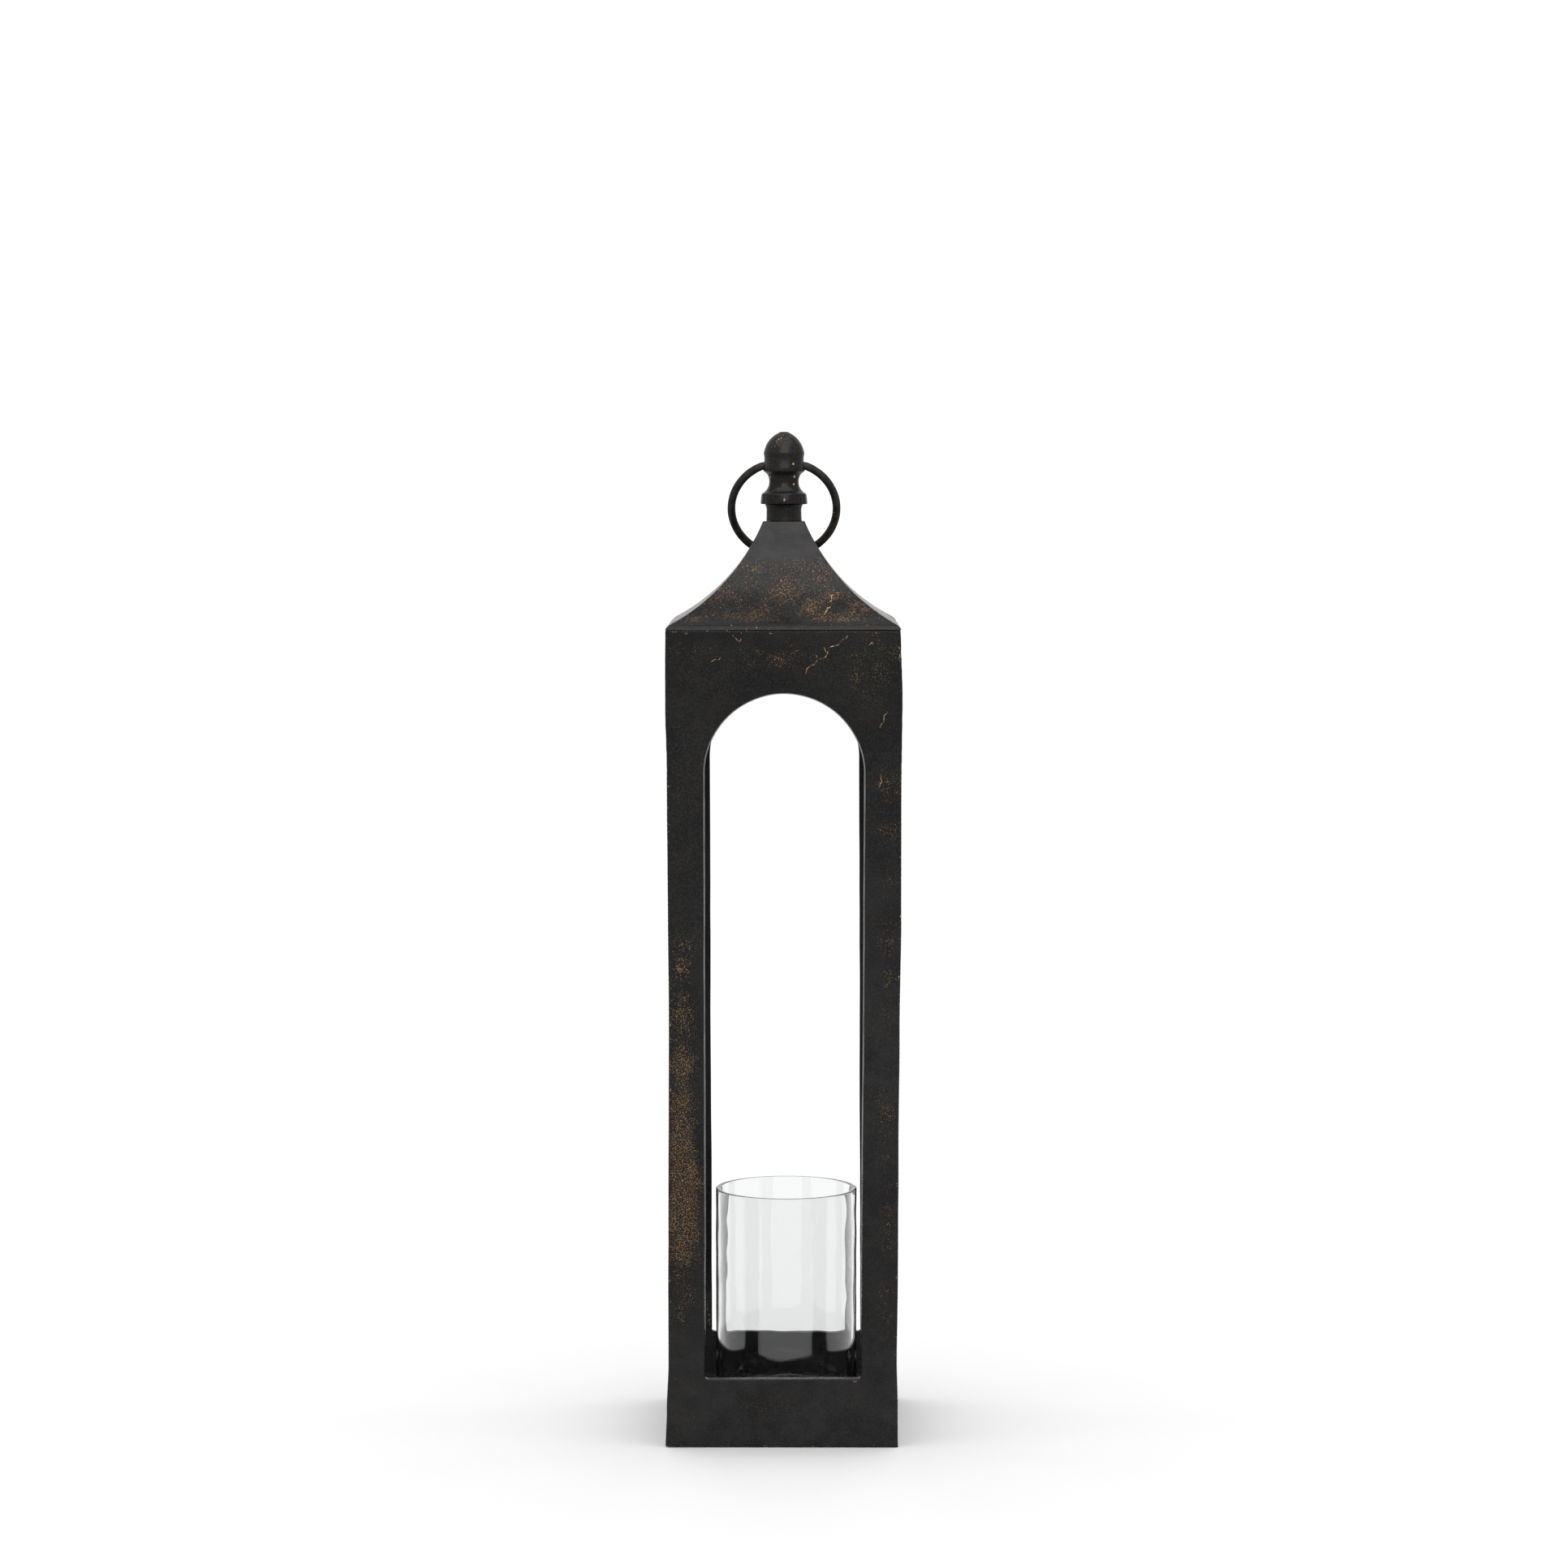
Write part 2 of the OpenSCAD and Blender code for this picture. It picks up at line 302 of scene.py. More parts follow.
def round_corners(corners, steps=6):
    """A closed outline from corners (x, z, radius), each rounded by its radius."""
    points = []
    count = len(corners)
    for i, (x, z, r) in enumerate(corners):
        here = Vector((x, z))
        before = Vector(corners[i - 1][:2]) - here
        after = Vector(corners[(i + 1) % count][:2]) - here
        if r <= 0:
            points.append((x, z))
            continue
        half = before.angle(after) / 2
        run = min(r / math.tan(half), before.length * 0.49, after.length * 0.49)
        start = here + before.normalized() * run
        end = here + after.normalized() * run
        for k in range(steps + 1):
            t = k / steps
            p = start * (1 - t) ** 2 + here * 2 * t * (1 - t) + end * t ** 2
            points.append((p.x, p.y))
    return points


# ---- Materials ----


class Nodes:
    """Short calls for building one material's node tree."""

    def __init__(self, name):
        self.material = bpy.data.materials.new(name)
        self.material.use_nodes = True
        self.tree = self.material.node_tree
        self.shader = self.tree.nodes["Principled BSDF"]

    def add(self, kind, **settings):
        node = self.tree.nodes.new(kind)
        for key, value in settings.items():
            setattr(node, key, value)
        return node

    def link(self, output, socket):
        self.tree.links.new(output, socket)

    def feed(self, value, socket):
        if isinstance(value, bpy.types.NodeSocket):
            self.link(value, socket)
        else:
            socket.default_value = value

    def position(self):
        return self.add("ShaderNodeTexCoord").outputs["Object"]

    def noise(self, scale, detail=2.0, roughness=0.5, distortion=0.0, stretch=None):
        where = self.position()
        if stretch:
            mapping = self.add("ShaderNodeMapping")
            mapping.inputs["Scale"].default_value = stretch
            self.link(where, mapping.inputs["Vector"])
            where = mapping.outputs["Vector"]
        node = self.add("ShaderNodeTexNoise")
        self.link(where, node.inputs["Vector"])
        node.inputs["Scale"].default_value = scale
        node.inputs["Detail"].default_value = detail
        node.inputs["Roughness"].default_value = roughness
        node.inputs["Distortion"].default_value = distortion
        return node.outputs["Fac"]

    def attribute(self, name):
        return self.add("ShaderNodeAttribute", attribute_name=name).outputs["Fac"]

    def math(self, operation, a, b=0.0, c=0.0, clamp=False):
        node = self.add("ShaderNodeMath", operation=operation, use_clamp=clamp)
        for value, socket in zip((a, b, c), node.inputs):
            self.feed(value, socket)
        return node.outputs[0]

    def ramp(self, value, low, high, to_low=0.0, to_high=1.0):
        """value taken smoothly from low..high to to_low..to_high."""
        node = self.add("ShaderNodeMapRange", interpolation_type="SMOOTHSTEP")
        self.feed(value, node.inputs["Value"])
        for key, setting in (("From Min", low), ("From Max", high),
                             ("To Min", to_low), ("To Max", to_high)):
            self.feed(setting, node.inputs[key])
        return node.outputs["Result"]

    def mix(self, factor, a, b):
        node = self.add("ShaderNodeMix", data_type="RGBA")
        self.feed(factor, node.inputs["Factor"])
        self.feed(a, node.inputs["A"])
        self.feed(b, node.inputs["B"])
        return node.outputs["Result"]

    def bump(self, height, distance, strength=1.0, under=None):
        node = self.add("ShaderNodeBump")
        node.inputs["Distance"].default_value = distance
        self.feed(strength, node.inputs["Strength"])
        self.link(height, node.inputs["Height"])
        if under is not None:
            self.link(under, node.inputs["Normal"])
        return node.outputs["Normal"]


BLACK = (0.0034, 0.0034, 0.0037, 1)
SOFT_BLACK = (0.0064, 0.0063, 0.0062, 1)
BROWN_BLACK = (0.0098, 0.0076, 0.0050, 1)
GOLD = (0.155, 0.112, 0.060, 1)
COPPER = (0.235, 0.131, 0.062, 1)
BARE_COPPER = (0.29, 0.150, 0.078, 1)
RIDGE_BROWN = (0.022, 0.015, 0.010, 1)
RIDGE_COPPER = (0.30, 0.17, 0.085, 1)
WIRE_BROWN = (0.0115, 0.0088, 0.0066, 1)
ZINC_DARK = (0.34, 0.34, 0.35, 1)
ZINC_LIGHT = (0.55, 0.55, 0.56, 1)
GLASS_GREY = (0.900, 0.905, 0.905, 1)
FLOOR_DARK = (0.94, 0.94, 0.94, 1)
FLOOR_LIGHT = (0.96, 0.96, 0.96, 1)
LIGHT_GRAIN = (0.024, 0.0225, 0.0200, 1)
# Lighter grey, partly dust and partly painted light: light from above on the roof, floor-bounce
# light low on the panels
DUST_AND_PAINTED_LIGHT = (0.0262, 0.0260, 0.0268, 1)
PIT = (0.0014, 0.0013, 0.0013, 1)


def black_base(n, cloud, fine):
    """Black with brown clouds, pits, light grains, and a lighter grey that is partly dust and partly
    painted light.
    """
    base = n.mix(n.ramp(n.noise(21, 3, 0.55), 0.40, 0.62), BLACK, SOFT_BLACK)
    brown = n.math("MULTIPLY", n.ramp(cloud, 0.45, 0.70), 0.28)
    base = n.mix(brown, base, BROWN_BLACK)
    base = n.mix(n.ramp(fine, 0.52, 0.34, 0.0, 0.8), base, PIT)
    base = n.mix(n.ramp(fine, 0.52, 0.70, 0.0, 0.6), base, LIGHT_GRAIN)
    base = n.mix(n.ramp(n.noise(640, 3, 0.6), 0.48, 0.75, 0.0, 0.22), base, LIGHT_GRAIN)
    # The lighter grey of dust and painted light, made patchy by noise
    grey_patchiness = n.ramp(n.noise(70, 3, 0.6), 0.30, 0.70, 0.6, 1.4)
    return n.mix(n.math("MULTIPLY", n.attribute("dust_and_painted_light"), grey_patchiness), base, DUST_AND_PAINTED_LIGHT)


def patch_amount(n, cloud):
    """The painted patches, broken up by the clouds."""
    patina = n.attribute("patina")
    clouds = n.math("MULTIPLY", n.math("SUBTRACT", cloud, 0.5), 1.4)
    patch = n.math("ADD", patina, clouds)
    return n.math("MULTIPLY", n.ramp(patch, 0.05, 0.95), n.ramp(patina, 0.0, 0.25))


def rub_through(n, base, grain, patch):
    """Gold and copper grains over the base: more of them, and redder, where the patch is dense."""
    level = n.math("MULTIPLY_ADD", patch, -0.19, 0.645)
    upper = n.math("ADD", level, 0.25)
    speck = n.ramp(grain, level, upper)
    uneven = n.ramp(n.noise(520, 1), 0.35, 0.70, 0.50, 1.0)
    sparse = n.ramp(patch, 0.0, 0.35, 0.3, 1.0)
    speck = n.math("MULTIPLY", n.math("MULTIPLY", speck, uneven), sparse)
    pits = n.math("MULTIPLY", n.ramp(grain, 0.50, 0.38), n.ramp(patch, 0.05, 0.6))
    redder = n.ramp(n.math("MULTIPLY_ADD", patch, 0.12, n.noise(210, 1)), 0.44, 0.62)
    colour = n.mix(n.math("MULTIPLY", pits, 0.8), base, PIT)
    return n.mix(n.math("MULTIPLY", speck, 0.85), colour, n.mix(redder, GOLD, COPPER))


def bare_edges(n, colour):
    """Copper where corners and spots are rubbed bare."""
    edge = n.attribute("worn_edge")
    ragged = n.math("MULTIPLY", n.math("SUBTRACT", n.noise(430, 2, 0.6), 0.5), 2.0)
    rub = n.ramp(n.math("ADD", edge, ragged), 0.62, 0.80)
    rub = n.math("MULTIPLY", rub, n.ramp(edge, 0.05, 0.25))
    return n.mix(n.math("MULTIPLY", rub, 0.85), colour, BARE_COPPER)


def cast_metal():
    """Blackened sand-cast metal, waxed, with a pebbled copper and gold rub-through."""
    n = Nodes("cast metal")
    cloud = n.noise(55, 3, 0.6)
    grain = n.noise(1180, 1.5, 0.5, 0.4)
    fine = n.noise(1500, 2, 0.65)
    patch = patch_amount(n, cloud)
    colour = rub_through(n, black_base(n, cloud, fine), grain, patch)
    n.link(bare_edges(n, colour), n.shader.inputs["Base Color"])
    n.shader.inputs["Roughness"].default_value = 0.6
    n.shader.inputs["Specular IOR Level"].default_value = 0.0

    # A thin coat of wax: dull face on, bright where seen at a slant
    n.shader.inputs["Coat Weight"].default_value = 1.0
    n.shader.inputs["Coat IOR"].default_value = 1.185
    n.link(n.ramp(cloud, 0.3, 0.7, 0.22, 0.34), n.shader.inputs["Coat Roughness"])
    n.link(n.bump(grain, 0.0002, 0.18), n.shader.inputs["Coat Normal"])

    pebbles = n.math("MULTIPLY", grain, n.ramp(patch, 0.0, 0.5, 0.35, 1.0))
    normal = n.bump(cloud, 0.0012, 0.35)
    normal = n.bump(pebbles, 0.0007, 0.6, normal)
    normal = n.bump(fine, 0.0003, 0.5, normal)
    n.link(normal, n.shader.inputs["Normal"])
    return n.material


def copper_ridge():
    """Raised casting veins, rubbed to bare copper along their crests."""
    n = Nodes("copper ridge")
    rubbed = n.ramp(n.noise(420, 2, 0.6), 0.40, 0.60)
    n.link(n.mix(rubbed, RIDGE_BROWN, RIDGE_COPPER), n.shader.inputs["Base Color"])
    n.link(n.ramp(rubbed, 0.0, 1.0, 0.65, 0.42), n.shader.inputs["Roughness"])
    n.shader.inputs["Metallic"].default_value = 0.35
    n.shader.inputs["Specular IOR Level"].default_value = 0.3
    n.link(n.bump(n.noise(1500, 2), 0.0003, 0.5), n.shader.inputs["Normal"])
    return n.material


def blackened_wire():
    """Forged wire with a brown cast and a few bare spots."""
    n = Nodes("blackened wire")
    cloud = n.noise(130, 3, 0.6)
    base = n.mix(n.ramp(cloud, 0.42, 0.64), BLACK, WIRE_BROWN)
    bare = n.ramp(n.noise(230, 2, 0.5), 0.70, 0.76, 0.0, 0.6)
    bare = n.math("MAXIMUM", bare, n.ramp(n.attribute("worn_edge"), 0.35, 0.8, 0.0, 0.8))
    n.link(n.mix(bare, base, BARE_COPPER), n.shader.inputs["Base Color"])
    n.link(n.ramp(cloud, 0.3, 0.7, 0.42, 0.60), n.shader.inputs["Roughness"])
    n.shader.inputs["Specular IOR Level"].default_value = 0.16
    n.link(n.bump(n.noise(620, 3, 0.6), 0.0004, 0.35), n.shader.inputs["Normal"])
    return n.material


def zinc_steel():
    """Plated fasteners, a little dulled."""
    n = Nodes("zinc steel")
    dull = n.noise(700, 3, 0.6)
    n.link(n.mix(n.ramp(dull, 0.35, 0.65), ZINC_DARK, ZINC_LIGHT), n.shader.inputs["Base Color"])
    n.link(n.ramp(dull, 0.3, 0.7, 0.28, 0.48), n.shader.inputs["Roughness"])
    n.shader.inputs["Metallic"].default_value = 1.0
    n.link(n.bump(n.noise(2500, 2), 0.0001, 0.3), n.shader.inputs["Normal"])
    return n.material


def clear_glass():
    """Clear pressed glass, slightly grey, with faint ripples from its mould."""
    n = Nodes("clear glass")
    n.shader.inputs["Base Color"].default_value = GLASS_GREY
    n.shader.inputs["Transmission Weight"].default_value = 1.0
    n.shader.inputs["IOR"].default_value = 1.5
    n.shader.inputs["Roughness"].default_value = 0.0
    ripple = n.noise(26, 2, 0.5, 0.0, (1.0, 1.0, 0.12))
    n.link(n.bump(ripple, 0.0006, 0.22), n.shader.inputs["Normal"])
    return n.material


def pale_floor():
    """A matt studio floor, almost white."""
    n = Nodes("pale floor")
    n.link(n.mix(n.noise(3, 2), FLOOR_DARK, FLOOR_LIGHT), n.shader.inputs["Base Color"])
    n.shader.inputs["Roughness"].default_value = 0.9
    n.shader.inputs["Specular IOR Level"].default_value = 0.1
    return n.material


CAST = cast_metal()
RIDGE = copper_ridge()
WIRE = blackened_wire()
ZINC = zinc_steel()
GLASS = clear_glass()


# ---- Patina where the rub-through is dense, and the lighter grey of dust and painted light ----


def blob(u, v, cu, cv, ru, rv):
    """A soft spot at (cu, cv) with radii ru and rv."""
    d = ((u - cu) / ru) ** 2 + ((v - cv) / rv) ** 2
    return math.exp(-d)


# Amount, centre and radii across and up a panel, in mm
PANEL_PATCHES = [
    (1.10, -72, 180, 14, 70),
    (0.60, -73, 300, 11, 90),
    (0.36, 72.5, 300, 10, 180),
    (0.35, -62, 568, 22, 9),
    (0.35, 62, 555, 22, 22),
    (0.30, 5, 562, 40, 10),
    (0.35, 0, 28, 40, 7),
    (0.15, 74, 110, 8, 60),
    (0.10, -62, 14, 20, 10),
    (0.12, 72, 480, 12, 50),
]


def panel_patina(u, z):
    """Rub-through on a panel at u across it, seen from outside, and height z."""
    amount = 0.06
    for strength, cu, cz, ru, rz in PANEL_PATCHES:
        amount += strength * blob(u / MM, z / MM, cu, cz, ru, rz)
    return amount


def panel_painted_light(u, z):
    """Painted floor-bounce light on a panel's outside, as a lighter grey: most on the base, less up
    the posts, with a lighter patch up the right post.
    """
    base = 1 - ease((z / MM - 40) / 60)
    post = 1 - ease((z / MM - 250) / 250)
    return 0.12 * base + 0.12 * post + 0.10 * blob(u / MM, z / MM, 72, 300, 30, 130)


def roof_painted_light(v):
    """Painted light from above: a lighter grey on the upper part of a roof face."""
    return 0.35 * ease((v - 0.45) / 0.25)


def roof_patina(u, v):
    """Rub-through on a roof face, u across from -1 to 1, v up from 0 to 1."""
    band = ease((0.72 - v) / 0.18)
    return 0.08 + 0.43 * band + 0.12 * blob(u, v, 0.35, 0.18, 0.4, 0.12)


# ---- Body panels ----

ACROSS = 10
EDGE_STEPS = 4
UPRIGHT_STEPS = 440
PANEL_FOOT = 10 * MM


def opening_stations():
    """Points round the opening, each with the point of the panel's edge it is joined to.

    Each is (opening x, z, normal x, z, outer x, z). They run anticlockwise, seen from
    the front, from the middle of the sill.
    """
    a = ARCH_R
    r = SILL_CORNER_R
    foot = PANEL_FOOT
    right = []
    for i in range(20):
        t = i / 20
        right.append((t * (a - r), SILL_Z, 0, -1, t * (HALF_W - foot), 0))
    for i in range(9):
        q = -90 + 90 * i / 8
        nx, nz = math.cos(math.radians(q)), math.sin(math.radians(q))
        t = i / 4
        outer = (HALF_W - foot * (1 - t), 0) if t <= 1 else (HALF_W, foot * (t - 1))
        right.append((a - r + r * nx, SILL_Z + r + r * nz, nx, nz, *outer))
    for i in range(1, UPRIGHT_STEPS):
        t = i / UPRIGHT_STEPS
        z = SILL_Z + r + (SPRING_Z - SILL_Z - r) * t
        right.append((a, z, 1, 0, HALF_W, foot + (SPRING_Z - foot) * t))
    corner = math.degrees(math.atan2(BODY_H - SPRING_Z, HALF_W))
    for start, end, steps in ((0, corner, 32), (corner, 90, 24)):
        for i in range(steps):
            q = math.radians(start + (end - start) * i / steps)
            nx, nz = math.cos(q), math.sin(q)
            reach = HALF_W / nx if start == 0 else (BODY_H - SPRING_Z) / nz
            right.append((a * nx, SPRING_Z + a * nz, nx, nz, reach * nx, SPRING_Z + reach * nz))
    top = (0, SPRING_Z + a, 0, 1, 0, BODY_H)
    left = [(-x, z, -nx, nz, -ox, oz) for x, z, nx, nz, ox, oz in reversed(right[1:])]
    return right + [top] + left


def edge_inset(depth, radius, thickness):
    """How far a rounded edge of a plate lies inside its outline at that depth."""
    near = min(depth, thickness - depth)
    if near >= radius:
        return 0.0
    return radius - math.sqrt(radius ** 2 - (radius - near) ** 2)


def mitre_inset(depth):
    """The same for a mitred upright edge with a rounded outside corner."""
    if depth < CORNER_EDGE_R * (1 - math.sqrt(0.5)):
        return CORNER_EDGE_R - math.sqrt(CORNER_EDGE_R ** 2 - (CORNER_EDGE_R - depth) ** 2)
    return depth


def rounded_depths(radius):
    """Depths through the plate, close together where its edges are round."""
    quarter = [radius * (1 - math.cos(math.radians(90 * i / EDGE_STEPS)))
               for i in range(EDGE_STEPS + 1)]
    return quarter + [WALL / 2] + [WALL - d for d in reversed(quarter)]


def across(a, b):
    """Points between two of a face, which have the same depth, with no wear."""
    points = []
    for i in range(1, ACROSS):
        t = i / ACROSS
        points.append((a[0] + (b[0] - a[0]) * t, a[1], a[2] + (b[2] - a[2]) * t, 0.0))
    return points


def panel_section(station):
    """The closed cross-section of the panel at one station: (x, depth, z, wear)."""
    x, z, nx, nz, ox, oz = station
    on_side = abs(abs(ox) - HALF_W) < 1e-9
    on_rim = oz < 1e-9 or abs(oz - BODY_H) < 1e-9
    up = 1 if oz > BODY_H / 2 else -1
    outer = []
    mitre_depths = [CORNER_EDGE_R * (1 - math.cos(math.radians(45 * i / EDGE_STEPS)))
                    for i in range(EDGE_STEPS + 1)]
    rim_depths = rounded_depths(RIM_EDGE_R)
    depths = rim_depths if not on_side else mitre_depths + rim_depths[len(mitre_depths):]
    for depth in depths:
        dx = -math.copysign(mitre_inset(depth), ox) if on_side else 0.0
        dz = -up * edge_inset(depth, RIM_EDGE_R, WALL) if on_rim else 0.0
        outer.append((ox + dx, depth, oz + dz))
    inner = []
    draft = SILL_DRAFT + (SIDE_DRAFT - SILL_DRAFT) * min(1.0, max(0.0, 1 + nz))
    for depth in rounded_depths(OPENING_EDGE_R):
        inset = edge_inset(depth, OPENING_EDGE_R, WALL) - draft * depth / WALL
        inner.append((x + nx * inset, depth, z + nz * inset))
    section = across(inner[0], outer[0])
    section += [(*p, EDGE_WEAR if i <= EDGE_STEPS else 0.0) for i, p in enumerate(outer)]
    section += across(outer[-1], inner[-1])
    section += [(*p, 0.0) for p in reversed(inner)]
    return section


STATIONS = opening_stations()


def panel_piece(name, turn, seed):
    """One panel, built as it stands at the front and turned to its own side."""
    sections = [panel_section(s) for s in STATIONS]
    turned = Matrix.Rotation(math.radians(turn), 4, "Z")
    slip = Vector((seed * 0.37, 0, seed * 0.19))
    rings, patina, edges, dust_and_painted_light = [], [], [], []
    for section in sections:
        ring = []
        for x, depth, z, edge in section:
            p = turned @ Vector((x, depth - HALF_W, z))
            ring.append(body_cast(p))
            u = x if seed == 0 else x * (-1) ** seed
            wander = 0.16 * noise.noise(Vector((x, 0, z)) / 0.05 + slip)
            inside = 0.25 if depth > WALL / 2 else 1.0
            patina.append(max(0.0, (panel_patina(u, z) + wander) * inside))
            edges.append(edge)
            # Outside: painted floor-bounce light as a lighter grey. Inside: a lighter grey up to 60
            # mm, fading out by 110 mm
            low_inside = 1 - ease((z - 60 * MM) / (50 * MM))
            on_back = depth > WALL - OPENING_EDGE_R
            dust_and_painted_light.append(low_inside if on_back else panel_painted_light(u, z))
        rings.append(ring)
    verts, faces = loft(rings, True)
    piece = new_piece(name, verts, face_outwards(verts, faces), CAST, patina, edges, dust_and_painted_light)
    weighted_normals(piece)
    return piece


# ---- Casting veins ----


def jagged_path(points, seed):
    """Points (u, z) in mm joined by a line that wanders like a crack."""
    draw = random.Random(seed)
    path = []
    for (u0, z0), (u1, z1) in zip(points, points[1:]):
        steps = max(2, int(math.hypot(u1 - u0, z1 - z0) / 1.3))
        for i in range(steps):
            t = i / steps
            path.append((u0 + (u1 - u0) * t + draw.uniform(-0.55, 0.55),
                         z0 + (z1 - z0) * t + draw.uniform(-0.55, 0.55)))
    path.append(points[-1])
    return path


def ridge_strip(path, width, surface):
    """A low closed ridge along a path on a surface.

    surface(u, z, height) gives the point at that height over it.
    """
    verts, faces = [], []
    last = len(path) - 1
    for i, (u, z) in enumerate(path):
        before, after = path[max(i - 1, 0)], path[min(i + 1, last)]
        along = Vector((after[0] - before[0], after[1] - before[1])).normalized()
        side = Vector((-along.y, along.x))
        taper = math.sin(math.pi * (i + 0.6) / (last + 1.2)) ** 0.6
        half = width * taper * (0.75 + 0.5 * abs(noise.noise(Vector((u, z, 0)) / 2.5))) / 2
        for k, height in ((-1, -0.25), (-0.5, 0.22), (0.5, 0.22), (1, -0.25)):
            verts.append(surface(u + side.x * half * k, z + side.y * half * k, height * MM))
    for i in range(last):
        a, b = 4 * i, 4 * (i + 1)
        for k in range(3):
            faces.append((a + k, a + k + 1, b + k + 1, b + k))
        faces.append((a + 3, a, b, b + 3))
    faces.append((0, 3, 2, 1))
    end = 4 * last
    faces.append((end, end + 1, end + 2, end + 3))
    return verts, face_outwards(verts, faces)


def merge(parts):
    """One list of points and faces from several."""
    verts, faces = [], []
    for part_verts, part_faces in parts:
        start = len(verts)
        verts += part_verts
        faces += [tuple(i + start for i in face) for face in part_faces]
    return verts, faces


def front_surface(u, z, height):
    """A point of the front panel's face, u across and z up in mm."""
    return body_cast(Vector((u * MM, -HALF_W, z * MM))) - Vector((0, height, 0))


def back_inner_surface(u, z, height):
    """A point of the back panel's inner face."""
    return body_cast(Vector((u * MM, HALF_W - WALL, z * MM))) - Vector((0, height, 0))


# Each vein: width in mm, then the points of its path across and up, in mm
FRONT_VEINS = [
    (0.8, [(15, 550.5), (15.6, 553), (17.5, 555), (21, 557), (24, 561)]),
    (0.9, [(24, 561), (29, 561.5), (30.5, 565), (32, 568.5)]),
    (1.3, [(32, 568.5), (35, 570), (38, 571), (40.5, 573.5)]),
    (0.7, [(40.5, 573.5), (43.5, 575), (45, 577.5)]),
    (0.7, [(30.5, 565), (28.5, 567), (27.5, 570)]),
    (0.6, [(24, 561), (22.5, 563.5)]),
    (0.7, [(-36, 577), (-33.5, 574.5), (-31, 573), (-30, 575)]),
    (0.7, [(-51, 558.5), (-48.5, 560.5), (-46, 560), (-44.5, 562)]),
    (0.8, [(59, 570), (62, 572), (64, 570.5)]),
    (0.8, [(66, 512), (69, 516), (70, 521), (72, 524)]),
    (0.8, [(66, 470), (68, 475), (67, 480)]),
    (1.5, [(80.9, 559.5), (81.4, 562), (81.2, 564)]),
    (1.2, [(81.2, 567), (81.0, 569)]),
    (1.0, [(49.5, 49.0), (51.5, 48.6), (53.0, 49.4)]),
]
BACK_VEINS = [
    (1.2, [(-57.0, 55), (-57.6, 58), (-56.6, 61), (-57.4, 65)]),
    (1.0, [(-58.5, 66), (-57.8, 70), (-58.6, 73)]),
]


def vein_piece(name, veins, surface, seed):
    parts = [ridge_strip(jagged_path(points, seed + i), width, surface)
             for i, (width, points) in enumerate(veins)]
    verts, faces = merge(parts)
    return new_piece(name, verts, faces, RIDGE)


# ---- Roof ----

chord = Vector((ROOF_TOP_HALF - HALF_W, roof_hi.z - EAVE_Z))
reach = math.sqrt(ROOF_CURVE_R ** 2 - chord.length ** 2 / 4)
middle = Vector((HALF_W, EAVE_Z)) + chord / 2
CURVE_X = middle.x + reach * chord.y / chord.length
CURVE_Z = middle.y - reach * chord.x / chord.length
PER_SIDE = 56
PER_CORNER = 6


def roof_half_width(z, inset=0.0):
    """Half width of the roof, or of the hollow inset in it, at height z."""
    r = ROOF_CURVE_R + inset
    return min(HALF_W - inset, CURVE_X - math.sqrt(r ** 2 - (CURVE_Z - z) ** 2))


def square_ring(half, z, corner):
    """A square ring with rounded corners, from the middle of the right side."""
    ring = []
    for quarter in range(4):
        turn = Matrix.Rotation(math.radians(90 * quarter), 4, "Z")
        flat = half - corner
        side = [Vector((half, flat * (2 * i / PER_SIDE - 1), z)) for i in range(PER_SIDE)]
        bend = [Vector((flat + corner * math.cos(math.radians(90 * i / PER_CORNER)),
                        flat + corner * math.sin(math.radians(90 * i / PER_CORNER)), z))
                for i in range(PER_CORNER)]
        ring += [turn @ p for p in side + bend]
    return ring


def round_ring(radius, z):
    """A circle with the same number of points as a square ring, in the same order."""
    ring = []
    for p in square_ring(1.0, 0.0, 0.05):
        a = math.atan2(p.y, p.x)
        ring.append(Vector((radius * math.cos(a), radius * math.sin(a), z)))
    return ring


def roof_cast(p):
    """The roof's unevenness. Its base follows the top of the body."""
    t = ease((p.z - BODY_H) / (30 * MM))
    low = noise.noise_vector(p / 0.06 + Vector((4, 4, 4))) * 0.35 * MM
    mid = noise.noise_vector(p / 0.018) * 0.14 * MM
    return p + body_drift(p) * (1 - t) + low + mid * (0.4 + 0.6 * t)


# Each ring of the roof goes with its wear and how far up the face it is, from 0 to 1


def eave_rings():
    """The underside of the rim, then the eave's round lower and upper edges."""
    hollow = roof_half_width(BODY_H, ROOF_T)
    rows = [(hollow + (HALF_W - UNDER_R - hollow) * i / 4, ROOF_BASE_Z, 0.0) for i in range(4)]
    for i in range(EDGE_STEPS + 1):
        q = math.radians(90 * i / EDGE_STEPS)
        half = HALF_W - UNDER_R * (1 - math.sin(q))
        rows.append((half, ROOF_BASE_Z + UNDER_R * (1 - math.cos(q)), ROOF_EDGE_WEAR))
    start = Vector((HALF_W, EAVE_Z - EAVE_R))
    knee = Vector((HALF_W, EAVE_Z))
    end = Vector((roof_half_width(SLOPE_Z), SLOPE_Z))
    for i in range(7):
        t = i / 6
        p = start * (1 - t) ** 2 + knee * 2 * t * (1 - t) + end * t ** 2
        rows.append((p.x, p.y, ROOF_EDGE_WEAR))
    return [(square_ring(half, z, EAVE_CORNER_R), wear, 0.0) for half, z, wear in rows]


